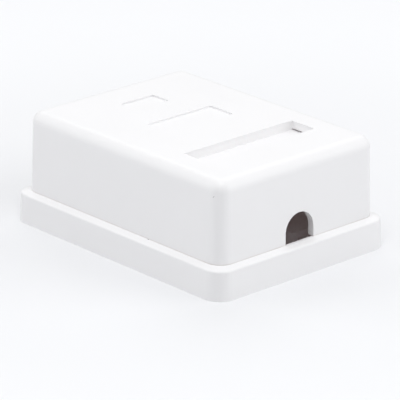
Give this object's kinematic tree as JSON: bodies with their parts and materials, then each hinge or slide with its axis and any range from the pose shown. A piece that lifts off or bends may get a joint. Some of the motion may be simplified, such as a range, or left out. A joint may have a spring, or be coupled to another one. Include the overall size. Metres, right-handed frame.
{
  "type": "surface mount jack box",
  "caption": "Low white moulded box for structured cabling: a tray that screws to a wall or desk carries modular jacks, under a lift-off cover with a label pocket and an arched cable entry.",
  "frame": {"origin": "centre of the underside, on the surface that the box is mounted on", "axes": "+Z away from the mounting surface, +Y towards the jack ports, +X to the right seen with the cable entry in front"},
  "size_m": [0.0516, 0.0678, 0.0259],
  "materials": {
    "shell_plastic": "fine satin moulding, cool white",
    "jack_plastic": "satin black moulding",
    "contact_metal": "gold plated spring wire",
    "board_laminate": "punched brown phenolic laminate",
    "terminal_plastic": "natural white moulding",
    "clip_metal": "tinned bronze",
    "cap_plastic": "white moulding"
  },
  "bodies": {
    "tray": {"base_tray": "shell_plastic", "jack_left_housing": "jack_plastic", "jack_left_contact_sled": "jack_plastic", "jack_left_spring_contacts": "contact_metal", "jack_left_board": "board_laminate", "jack_left_terminal_block_inner": "terminal_plastic", "jack_left_terminal_clips_inner": "clip_metal", "jack_left_terminal_cap_inner": "cap_plastic", "jack_left_terminal_block_outer": "terminal_plastic", "jack_left_terminal_clips_outer": "clip_metal", "jack_left_terminal_cap_outer": "cap_plastic", "jack_right_housing": "jack_plastic", "jack_right_contact_sled": "jack_plastic", "jack_right_spring_contacts": "contact_metal", "jack_right_board": "board_laminate", "jack_right_terminal_block_inner": "terminal_plastic", "jack_right_terminal_clips_inner": "clip_metal", "jack_right_terminal_cap_inner": "cap_plastic", "jack_right_terminal_block_outer": "terminal_plastic", "jack_right_terminal_clips_outer": "clip_metal", "jack_right_terminal_cap_outer": "cap_plastic"},
    "cover": {"cover": "shell_plastic"}
  },
  "joints": [
    {"name": "cover_lift", "type": "slide", "parent": "tray", "child": "cover", "axis": [0, 0, 1], "range_m": [0, 0.03]}
  ]
}
